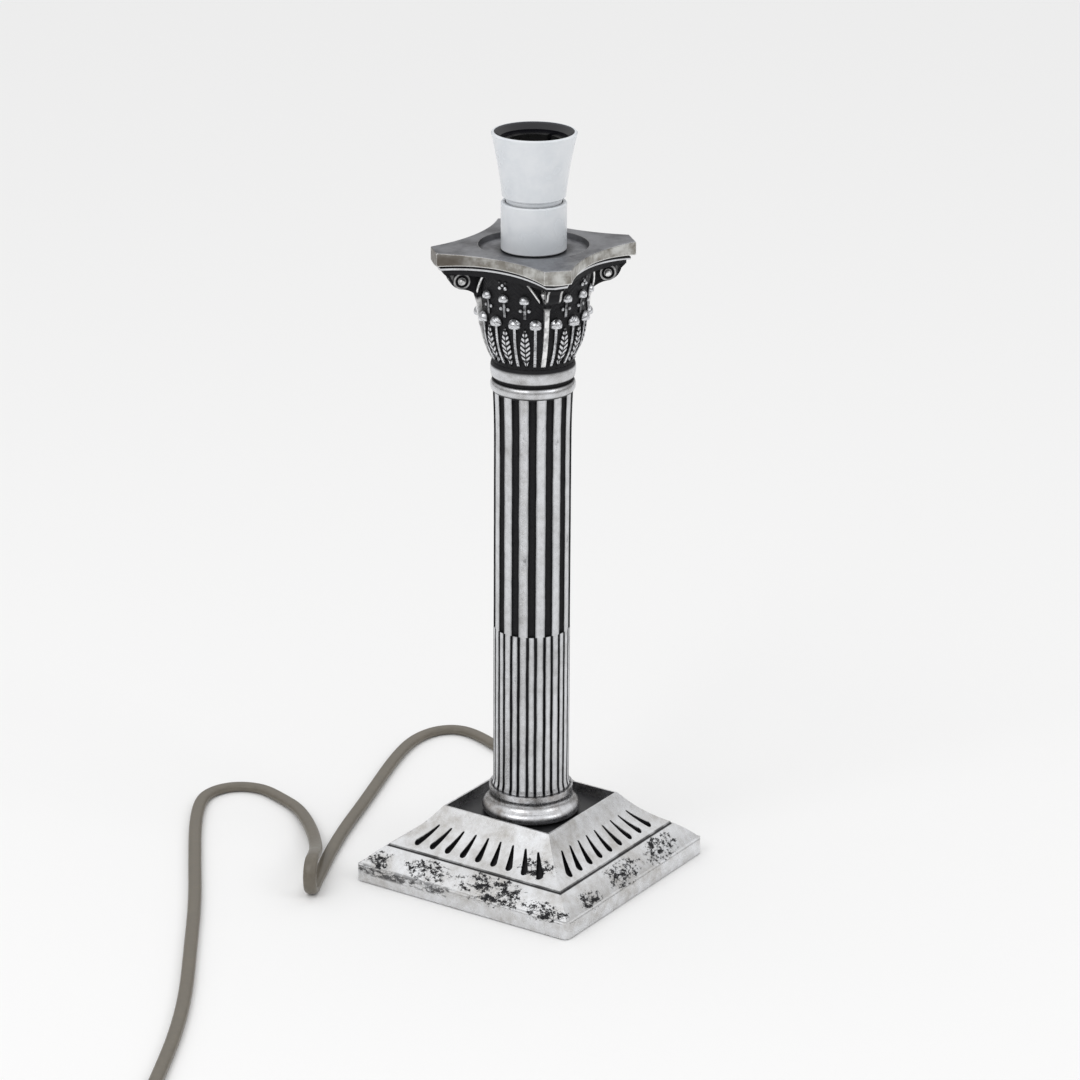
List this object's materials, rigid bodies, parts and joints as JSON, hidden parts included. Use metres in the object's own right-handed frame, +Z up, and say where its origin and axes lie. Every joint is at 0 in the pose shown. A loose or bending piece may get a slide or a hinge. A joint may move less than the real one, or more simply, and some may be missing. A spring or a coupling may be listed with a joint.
{
  "type": "table lamp base",
  "caption": "Column table lamp on a square stepped plinth, with a fluted shaft, a leafed capital, a flared bayonet lampholder and a flat mains flex with its plug.",
  "frame": {"origin": "on the floor, under the middle of the square base", "axes": "+Z up along the column, +Y towards the side where the flex comes out, the sides of the base along X and Y"},
  "size_m": [0.2418, 0.5658, 0.331],
  "materials": {
    "silver": "polished silver plate with dark oxide in its hollows",
    "felt": "matt felt",
    "steel": "plain",
    "iron": "cast, painted",
    "dark_plate": "satin black",
    "white_plastic": "glossy",
    "black_plastic": "glossy",
    "brass": "plain",
    "cord": "satin sheath",
    "plug_plastic": "glossy",
    "fuse_plastic": "glossy",
    "tie_fabric": "woven strip"
  },
  "bodies": {
    "lamp": {"abacus_moulding": "silver", "abacus_plate": "silver", "base_screw_1": "steel", "base_screw_2": "steel", "base_screw_3": "steel", "base_screw_4": "steel", "base_shell": "silver", "base_weight": "iron", "bottom_plate": "steel", "capital_bell": "silver", "clamp_screw_1": "steel", "clamp_screw_2": "steel", "coil_tie": "tie_fabric", "column_foot": "silver", "contact_block": "white_plastic", "cord_bush": "black_plastic", "cord_clamp": "black_plastic", "cord_coil": "cord", "cord_lead": "cord", "cord_tail": "cord", "corner_volute_1": "silver", "corner_volute_2": "silver", "corner_volute_3": "silver", "corner_volute_4": "silver", "felt_pad": "felt", "fluted_shaft": "silver", "holder_cup": "white_plastic", "holder_lock_nut": "steel", "inner_flex": "cord", "lead_left": "cord", "lead_right": "cord", "neck_collar": "silver", "plug_body": "plug_plastic", "plug_earth_pin": "brass", "plug_fuse_carrier": "fuse_plastic", "plug_line_pin": "brass", "plug_neutral_pin": "brass", "plug_relief": "plug_plastic", "rod_nut": "steel", "rod_washer": "steel", "terminal_left": "brass", "terminal_right": "brass", "terminal_screw_left": "steel", "terminal_screw_right": "steel", "tie_rod": "steel", "well_plate": "dark_plate"},
    "skirt": {"holder_skirt": "white_plastic", "bayonet_barrel": "black_plastic"},
    "contact_left": {"plunger_left": "brass", "plunger_spring_left": "steel"},
    "contact_right": {"plunger_right": "brass", "plunger_spring_right": "steel"}
  },
  "joints": [
    {"name": "skirt_unscrew", "type": "slide", "parent": "lamp", "child": "skirt", "axis": [0, 0, 1], "range_m": [0, 0.045]},
    {"name": "contact_left_press", "type": "slide", "parent": "lamp", "child": "contact_left", "axis": [0, 0, -1], "range_m": [0, 0.003], "stiffness_N_per_m": 1500, "springref_m": -0.001, "deforming": ["plunger_spring_left"]},
    {"name": "contact_right_press", "type": "slide", "parent": "lamp", "child": "contact_right", "axis": [0, 0, -1], "range_m": [0, 0.003], "stiffness_N_per_m": 1500, "springref_m": -0.001, "deforming": ["plunger_spring_right"]}
  ]
}
